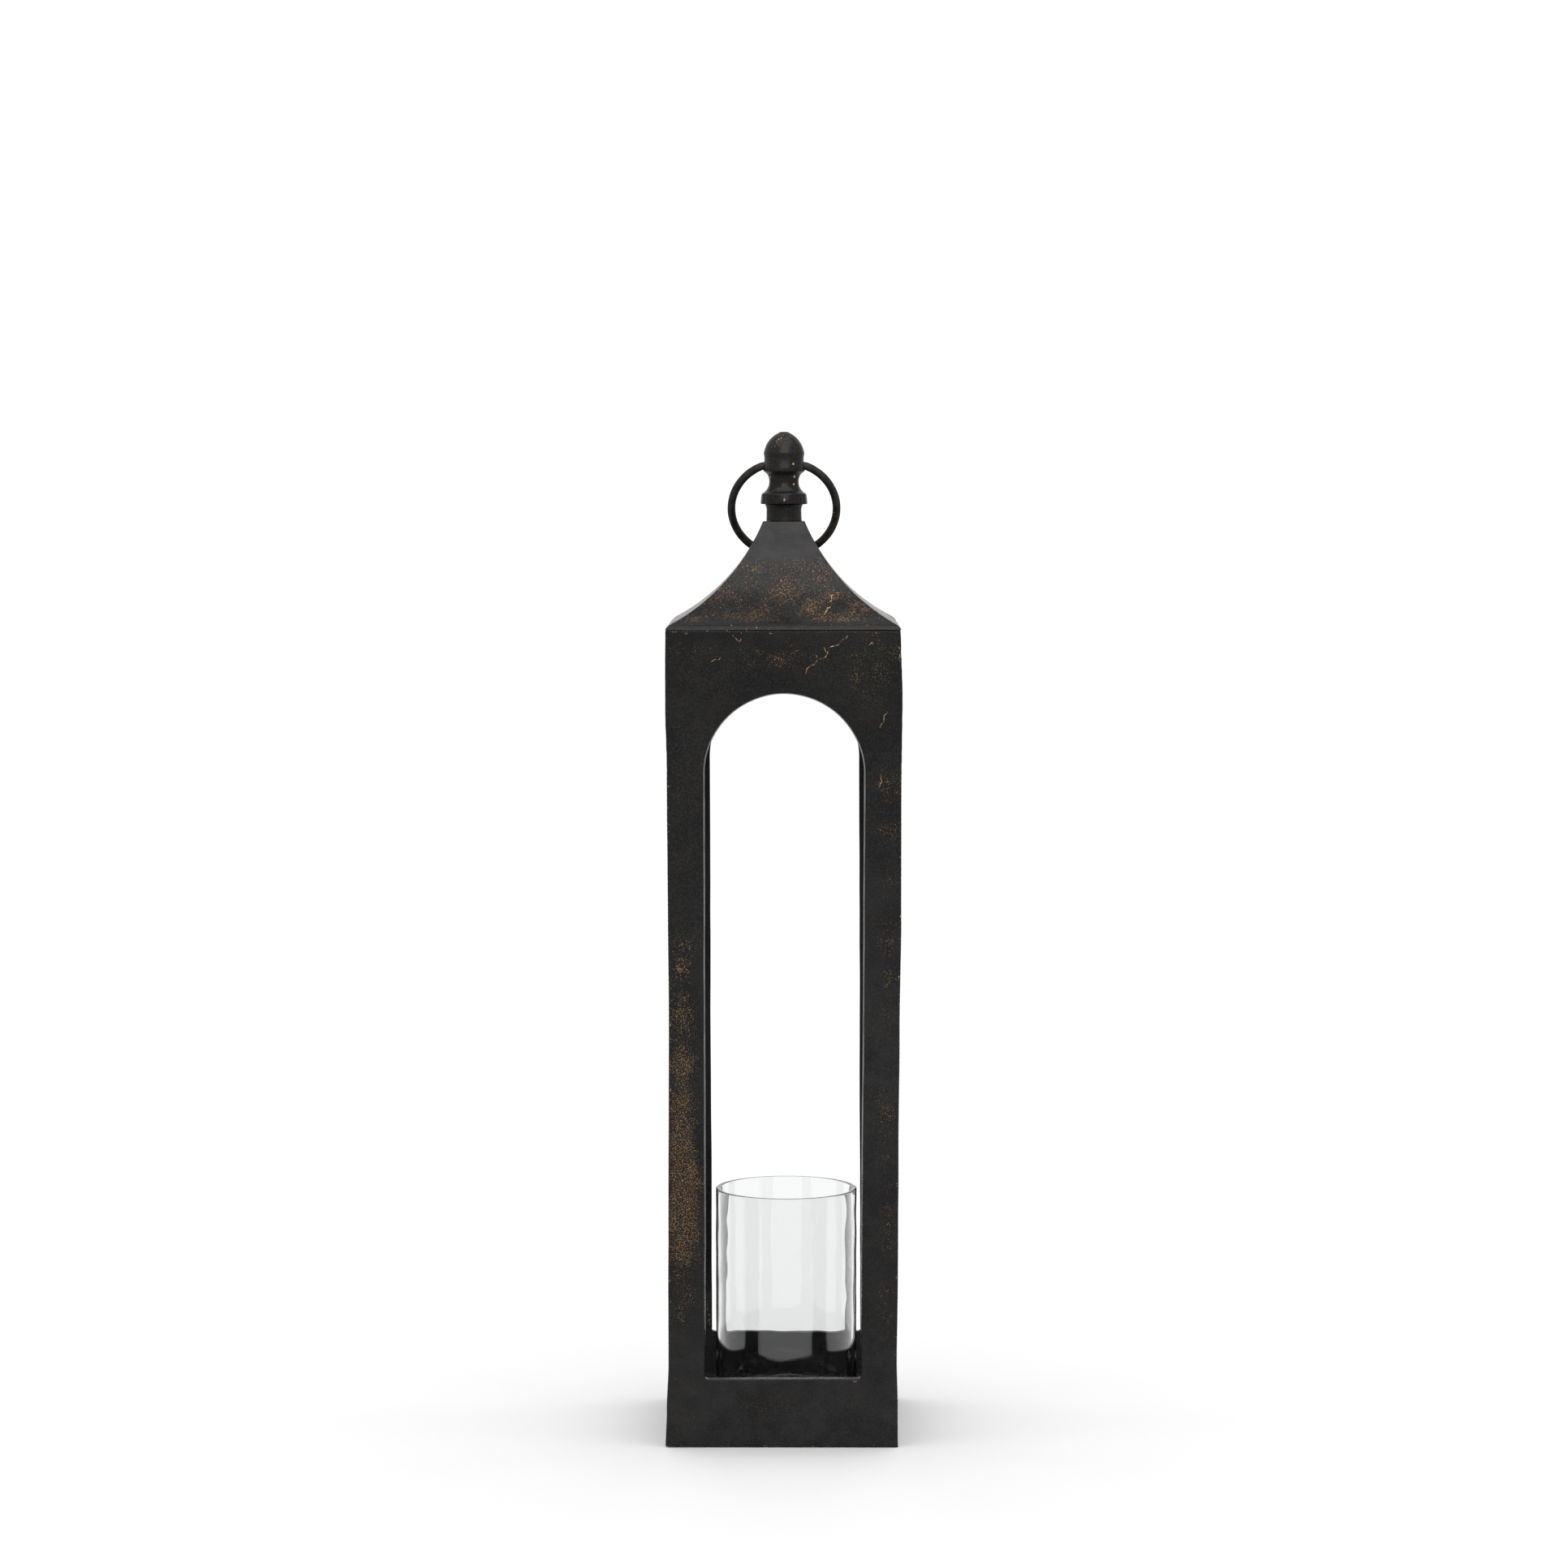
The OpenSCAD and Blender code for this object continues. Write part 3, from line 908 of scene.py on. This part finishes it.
def slope_rings():
    """The hollow curve of the faces, then the round edge of the flat top."""
    rings = []
    edge_z = roof_hi.z - TOP_EDGE_R
    steps = 52
    for i in range(1, steps + 1):
        t = i / steps
        z = SLOPE_Z + (edge_z - SLOPE_Z) * t
        rings.append((square_ring(roof_half_width(z), z, ROOF_CORNER_R), 0.0, t))
    edge_half = roof_half_width(edge_z)
    for i in range(1, 5):
        q = math.radians(90 * i / 4)
        half = edge_half - TOP_EDGE_R * (1 - math.cos(q))
        z = edge_z + TOP_EDGE_R * math.sin(q)
        rings.append((square_ring(half, z, ROOF_CORNER_R), ROOF_EDGE_WEAR, 1.0))
    return rings


def hollow_rings():
    """The flat top, the stud's hole, the ceiling and the hollow down to the rim."""
    top = roof_hi.z
    rings = []
    for radius, z in ((12, top), (3.4, top), (STUD_HOLE, top - 0.35 * MM),
                      (STUD_HOLE, ROOF_CAP_Z + 0.2 * MM), (3.3, ROOF_CAP_Z), (7, ROOF_CAP_Z)):
        rings.append((round_ring(radius * MM, z), 0.0, 1.0))
    steps = 24
    for i in range(steps):
        z = ROOF_CAP_Z + (HOLLOW_BASE_Z - ROOF_CAP_Z) * i / steps
        rings.append((square_ring(roof_half_width(z, ROOF_T), z, HOLLOW_CORNER_R), 0.0, 0.0))
    return rings


def boss_parts():
    """Points and faces of the four screw bosses."""
    low, high = HOLLOW_BASE_Z, HOLLOW_BASE_Z + BOSS_H
    profile = [(BOSS_HOLE_R, low), (BOSS_R, low), (BOSS_R, high), (BOSS_HOLE_R, high)]
    verts, faces = revolve(profile, 28)
    corners = [Vector((x * BOSS_AT, y * BOSS_AT, 0)) for x in (-1, 1) for y in (-1, 1)]
    return [([p + at for p in verts], faces) for at in corners]


def roof_piece():
    parts = eave_rings() + slope_rings() + hollow_rings()
    rings = []
    patina, edges, dust_and_painted_light = [], [], []
    for flat_ring, wear, v in parts:
        ring = [roof_cast(p) for p in flat_ring]
        rings.append(ring)
        half = max(abs(p.x) for p in ring)
        for p in ring:
            u = (p.x if abs(p.y) > abs(p.x) else p.y) / half
            patina.append(roof_patina(u, v) if v > 0 else 0.15)
            edges.append(wear)
            # Painted light from above, lighter grey high on each roof face
            dust_and_painted_light.append(roof_painted_light(v))
    verts, faces = loft(rings, True)
    all_verts, all_faces = merge([(verts, face_outwards(verts, faces))] + boss_parts())
    extra = len(all_verts) - len(verts)
    patina += [0.1] * extra
    edges += [0.0] * extra
    dust_and_painted_light += [0.0] * extra
    piece = new_piece("roof_casting", all_verts, all_faces, CAST, patina, edges, dust_and_painted_light)
    weighted_normals(piece)
    return piece


def roof_surface(u, z, height):
    """A point of the roof's front face, u across and z up in mm."""
    half = roof_half_width(z * MM)
    p = Vector((u * MM, -half, z * MM))
    slope = Vector((0, -(CURVE_Z - p.z), CURVE_X - half)).normalized()
    return roof_cast(p) + slope * height


ROOF_VEINS = [
    (0.9, [(30.5, 599), (33.5, 601), (34, 604), (36.5, 606.5), (39.5, 606)]),
    (1.2, [(26.0, 588.5), (29.0, 591.5), (30.5, 595.5), (33.0, 597.5)]),
    (0.6, [(34, 604), (31.5, 605.5)]),
]


# ---- Collar, finial, ring ----


def paint_all(piece, patina, dust_and_painted_light=0.0):
    """The same paint amounts all over a piece."""
    for attribute, value in (("patina", patina), ("worn_edge", 0.0), ("dust_and_painted_light", dust_and_painted_light)):
        layer = piece.data.attributes.new(attribute, "FLOAT", "POINT")
        layer.data.foreach_set("value", [value] * len(piece.data.vertices))


# Bare copper on the front: across, height and radius in mm
FINIAL_SPOTS = [
    (6.8, 697.2, 0.9), (7.6, 687.9, 0.85), (7.0, 682.4, 0.75), (0.2, 671.5, 0.9),
    (-3.6, 714.6, 0.5), (-2.0, 715.4, 0.45), (-5.2, 713.6, 0.45), (-9.6, 687.5, 0.5),
    (-0.8, 670.3, 0.6),
]
RING_SPOTS = [(-22.9, 694.4, 0.8), (-20.6, 695.6, 0.5), (-24.5, 692.6, 0.4), (27.8, 689.0, 0.5)]


def paint_spots(piece, spots):
    """Bare spots on the front of a piece."""
    layer = piece.data.attributes["worn_edge"].data
    for i, vert in enumerate(piece.data.vertices):
        if vert.co.y > 5 * MM:
            continue
        for x, z, r in spots:
            amount = blob(vert.co.x / MM, vert.co.z / MM, x, z, r, r)
            layer[i].value = max(layer[i].value, min(1.2, 1.6 * amount))


def collar_piece():
    low, high = collar_lo.z / MM, collar_hi.z / MM
    r = collar_hi.x / MM
    corners = [
        (STUD_HOLE, low + 0.1, 0), (r + 0.1, low + 0.1, 0.3), (r - 0.1, low + 3.2, 2.0),
        (r - 0.2, high - 3.4, 2.0), (r + 0.2, high - 1.6, 0.8), (r + 1.0, high - 0.05, 0.3),
        (STUD_HOLE, high - 0.05, 0),
    ]
    profile = [(x * MM, z * MM) for x, z in round_corners(corners)]
    verts, faces = revolve(profile, 96)
    cast = light_cast(0.16 * MM, 0.012)
    piece = new_piece("collar_casting", [cast(p) for p in verts], faces, CAST)
    paint_all(piece, 0.22)
    weighted_normals(piece)
    return piece


def curve_value(a, b, c, d, t):
    """Value at t between b and c of a smooth curve through four values."""
    square = (2 * a - 5 * b + 4 * c - d) * t ** 2
    cube = (3 * b - a - 3 * c + d) * t ** 3
    return 0.5 * (2 * b + (c - a) * t + square + cube)


def smooth_line(points, steps):
    """A Catmull-Rom curve through points."""
    line = []
    for i in range(len(points) - 1):
        p0, p1 = points[max(i - 1, 0)], points[i]
        p2, p3 = points[i + 1], points[min(i + 2, len(points) - 1)]
        for k in range(steps):
            line.append(tuple(curve_value(*values, k / steps) for values in zip(p0, p1, p2, p3)))
    return line + [points[-1]]


def finial_profile():
    """Outline of the finial in mm above its underside, stud hole included."""
    flange = [(STUD_HOLE, 0.1), (15.8, 0.1), (16.6, 0.3), (16.75, 0.9), (16.6, 3.0), (16.25, 6.4)]
    shoulder = [(16.25, 6.4), (16.1, 7.1)]
    cove = [(15.75, 7.75), (13.8, 9.1), (11.95, 11.3), (10.95, 13.5), (10.6, 16.0), (10.85, 18.6),
            (11.9, 21.1), (13.4, 22.7)]
    cup = [(14.2, 23.15), (14.75, 23.7), (14.95, 24.6), (14.85, 26.2), (14.5, 28.6), (14.25, 30.8),
           (14.15, 32.6), (14.25, 34.2), (14.5, 35.6), (14.62, 36.5), (14.5, 37.5)]
    dome_x, dome_z, dome_r = -3.9, 34.4, 18.5
    first = math.degrees(math.asin((38.6 - dome_z) / dome_r))
    last = math.degrees(math.asin((51.2 - dome_z) / dome_r))
    dome = arc_points(dome_x, dome_z, dome_r, first, last, 26)
    tip = [(3.2, 51.7), (2.4, 51.9), (0.25, 52.0)]
    hole = [(0.25, 20.0), (STUD_HOLE, 20.0)]
    outline = flange + smooth_line(shoulder, 3) + smooth_line(cove, 5) + smooth_line(cup, 3)
    outline += dome + tip + hole
    return [(x * MM, finial_lo.z + z * MM) for x, z in outline]


def evaluated(piece):
    """Replaces a piece's mesh by what its modifiers make of it."""
    graph = bpy.context.evaluated_depsgraph_get()
    mesh = bpy.data.meshes.new_from_object(piece.evaluated_get(graph))
    piece.modifiers.clear()
    piece.data = mesh


def finial_piece():
    verts, faces = revolve(finial_profile(), 192)
    cast = light_cast(0.22 * MM, 0.014)
    piece = new_piece("finial_casting", [cast(p) for p in verts], faces, CAST)
    drill_profile = [(0.01, -20), (BORE, -20), (BORE, 20), (0.01, 20)]
    drill_verts, drill_faces = revolve([(r * MM, z * MM) for r, z in drill_profile], 48)
    across = Matrix.Translation(PIVOT) @ Matrix.Rotation(math.radians(90), 4, "Y")
    drill = new_piece("drill", [across @ p for p in drill_verts], drill_faces, CAST)
    cut = piece.modifiers.new("cross-bore", "BOOLEAN")
    cut.operation = "DIFFERENCE"
    cut.solver = "EXACT"
    cut.object = drill
    evaluated(piece)
    bpy.data.objects.remove(drill)
    piece.data.shade_smooth()
    paint_all(piece, 0.24)
    paint_spots(piece, FINIAL_SPOTS)
    weighted_normals(piece)
    return piece


def ring_path():
    """The wire's centre line, hanging in the XZ plane about the pivot at the origin."""
    drop = math.sqrt(RING_R ** 2 - (BAR_HALF + 0.9 * MM) ** 2)
    kink_z = math.sqrt(RING_R ** 2 - KINK_X ** 2) - drop
    bar = [Vector((x * MM, 0, 0)) for x in (0.5, 4, 8, 12, 14)]
    start = math.degrees(math.asin(KINK_X / RING_R))
    shoulder = [Vector((BAR_HALF + 1.2 * MM, 0, -0.35 * MM)),
                Vector(((BAR_HALF + KINK_X) / 2 + 1 * MM, 0, kink_z * 0.52)),
                Vector((KINK_X - 1 * MM, 0, kink_z * 0.87))]
    count = 120
    arc = []
    for i in range(count + 1):
        q = math.radians(start + (360 - 2 * start) * i / count)
        arc.append(Vector((RING_R * math.sin(q), 0, RING_R * math.cos(q) - drop)))
    right = bar + shoulder
    left = [Vector((-p.x, 0, p.z)) for p in reversed(right)]
    return right + arc[1:-1] + left


def sweep(path, radius, sides):
    """A round tube along a flat path in the XZ plane, with its ends closed."""
    rings = []
    last = len(path) - 1
    for i, p in enumerate(path):
        along = (path[min(i + 1, last)] - path[max(i - 1, 0)]).normalized()
        side = Vector((0, 1, 0))
        up = side.cross(along)
        size = radius * (1 + 0.035 * noise.noise(p / 0.011 + Vector((3, 1, 4))))
        rings.append([p + (side * math.cos(q) + up * math.sin(q)) * size
                      for q in (2 * math.pi * k / sides for k in range(sides))])
    verts, faces = loft(rings, False)
    faces.append(tuple(reversed(range(sides))))
    faces.append(tuple(range(last * sides, (last + 1) * sides)))
    return verts, face_outwards(verts, faces)


def ring_piece():
    verts, faces = sweep(ring_path(), WIRE_R, 28)
    lean = Matrix.Translation(PIVOT) @ Matrix.Rotation(RING_LEAN, 4, "X")
    piece = new_piece("ring_wire", [lean @ p for p in verts], faces, WIRE)
    paint_all(piece, 0.0)
    paint_spots(piece, RING_SPOTS)
    return piece


# ---- Glass ----


def subdivided(outline, longest):
    """A closed outline (mm) with points added where it rises further than that."""
    points = []
    for (x0, z0), (x1, z1) in zip(outline, outline[1:] + outline[:1]):
        steps = max(1, int(abs(z1 - z0) / longest))
        points += [(x0 + (x1 - x0) * i / steps, z0 + (z1 - z0) * i / steps) for i in range(steps)]
    return points


def glass_wave(p):
    """Moves a point of the glass in or out by the slight waves of its wall."""
    flat = Vector((p.x, p.y, 0))
    wave = noise.noise(Vector((p.x, p.y, p.z * 0.8)) / 0.013) * GLASS_WAVE
    return p + flat.normalized() * wave * ease(flat.length / (30 * MM))


def glass_piece():
    """The glass, with a soft rim. It stands a little off centre."""
    outer = glass_hi.x / MM
    inner = outer - GLASS_T / MM
    height = (glass_hi.z - glass_lo.z) / MM
    base = GLASS_BASE_T / MM
    corners = [
        (0.05, 0.05, 0), (outer - 0.1, 0.05, 2.5), (outer, 12, 4), (outer, height, 0.8),
        (inner, height, 0.8), (inner, 14, 3), (inner - 0.1, base, 1.6), (0.05, base - 0.1, 0),
    ]
    outline = subdivided(round_corners(corners, 9), 4)
    verts, faces = revolve([(x * MM, glass_lo.z + z * MM) for x, z in outline], 160)
    return new_piece("glass_wall", [glass_wave(p) + GLASS_SHIFT for p in verts], faces, GLASS)


# ---- Small CAD parts that stay ----


def finish_node(node, material, bevel):
    """Gives a CAD node its material, and soft edges if bevel isn't 0."""
    piece = frame["nodes"][node]
    piece.data.materials.clear()
    piece.data.materials.append(material)
    if bevel:
        modifier = piece.modifiers.new("soft edges", "BEVEL")
        modifier.width = bevel
        modifier.segments = 2
        modifier.limit_method = "ANGLE"


BRACKET_BEVEL = 0.35 * MM
BRACKETS = [f"{level}_bracket_{corner}" for level in ("lower", "upper")
            for corner in ("front_left", "front_right", "rear_left", "rear_right")]
FASTENERS = ["panel_screws", "floor_screws", "roof_screws", "finial_stud", "stud_washer", "stud_nut"]


def floor_piece():
    """The floor plate: a thin casting with soft edges and slight waves."""
    half = floor_hi.x
    low, high = floor_lo.z, floor_hi.z
    edge = 0.7 * MM
    near = edge * 0.3
    sides = [(low, half - edge), (low + near, half - near), (low + edge, half),
             (high - edge, half), (high - near, half - near), (high, half - edge)]
    rings = [square_ring(side, z, 2.5 * MM) for z, side in sides]
    steps = 20
    shrinks = [1 - i / steps for i in range(1, steps)] + [0.002]
    rings += [[Vector((p.x * k, p.y * k, high)) for p in rings[5]] for k in shrinks]
    rings += [[Vector((p.x * k, p.y * k, low)) for p in rings[0]] for k in reversed(shrinks)]
    verts, faces = loft(rings, True)
    wave = light_cast(0.08 * MM, 0.03)
    piece = new_piece("floor_casting", [wave(p) for p in verts], face_outwards(verts, faces), CAST)
    # The floor plate gets the lighter grey all over
    paint_all(piece, 0.2, 1.0)
    weighted_normals(piece)
    return piece


# ---- The object ----


def place(piece, body, slot, *nodes):
    """Puts a piece on its body and hides the CAD nodes it stands for. The slot argument is not used.
    """
    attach(piece, body)
    if nodes:
        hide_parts(*nodes)


for seed, side in enumerate(("front", "right", "back", "left")):
    casting = panel_piece(f"{side}_casting", 90 * seed, seed)
    place(casting, "lantern", "cast_metal", f"{side}_panel")
place(vein_piece("front_veins", FRONT_VEINS, front_surface, 11), "lantern", "cast_metal")
place(vein_piece("back_veins", BACK_VEINS, back_inner_surface, 5), "lantern", "cast_metal")
place(roof_piece(), "lantern", "cast_metal", "roof")
place(vein_piece("roof_veins", ROOF_VEINS, roof_surface, 23), "lantern", "cast_metal")
place(floor_piece(), "lantern", "cast_metal", "floor_plate")
place(collar_piece(), "lantern", "cast_metal", "roof_collar")
place(finial_piece(), "lantern", "cast_metal", "finial")
place(ring_piece(), "handle", "blackened_wire", "ring_handle")
place(glass_piece(), "glass", "clear_glass", "glass_cylinder")
for node in BRACKETS:
    finish_node(node, CAST, BRACKET_BEVEL)
for node in FASTENERS:
    finish_node(node, ZINC, 0)


# ---- Floor, light and camera ----


FLOOR_HALF = 30
SKY = 1.12
CAMERA_AT = (0, -HALF_W - 3.05, 0.706)
CAMERA_DOWN = math.radians(4.37)


def stage_floor():
    mesh = bpy.data.meshes.new("studio_floor")
    size = FLOOR_HALF
    mesh.from_pydata([(-size, -size, 0), (size, -size, 0), (size, size, 0), (-size, size, 0)],
                     [], [(0, 1, 2, 3)])
    floor = bpy.data.objects.new("studio_floor", mesh)
    bpy.context.scene.collection.objects.link(floor)
    floor.data.materials.append(pale_floor())
    floor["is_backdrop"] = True


def softbox(name, place_at, width, length, power, lit):
    """A soft light aimed at the roof, which lights only one collection."""
    light = bpy.data.lights.new(name, "AREA")
    light.shape = "RECTANGLE"
    light.size = width
    light.size_y = length
    light.energy = power
    lamp = bpy.data.objects.new(name, light)
    bpy.context.scene.collection.objects.link(lamp)
    lamp.location = place_at
    aim = Vector((0, 0, EAVE_Z)) - Vector(place_at)
    lamp.rotation_euler = aim.to_track_quat("-Z", "Y").to_euler()
    lamp.light_linking.receiver_collection = lit


def studio():
    """A white surround, with softboxes that light all but the glass and the floor."""
    world = bpy.data.worlds.new("studio")
    bpy.context.scene.world = world
    world.use_nodes = True
    background = world.node_tree.nodes["Background"]
    background.inputs["Color"].default_value = (1, 1, 1, 1)
    background.inputs["Strength"].default_value = SKY
    lit = bpy.data.collections.new("lit_by_softbox")
    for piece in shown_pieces():
        if piece.data.materials[0] != GLASS:
            lit.objects.link(piece)
    softbox("front_softbox", (0.15, -1.9, 1.75), 1.8, 1.5, 50, lit)
    softbox("top_softbox", (0, -0.5, 2.1), 2.0, 1.0, 26, lit)


def photo_camera():
    """The camera, at the photograph's distance and angle."""
    camera = bpy.data.cameras.new("camera")
    camera.lens = 100
    camera.sensor_width = 36
    camera.clip_start = 0.05
    holder = bpy.data.objects.new("camera", camera)
    bpy.context.scene.collection.objects.link(holder)
    holder.location = CAMERA_AT
    holder.rotation_euler = (math.pi / 2 - CAMERA_DOWN, 0, 0)
    bpy.context.scene.camera = holder


stage_floor()
studio()
photo_camera()
bpy.context.scene.view_settings.view_transform = "Standard"
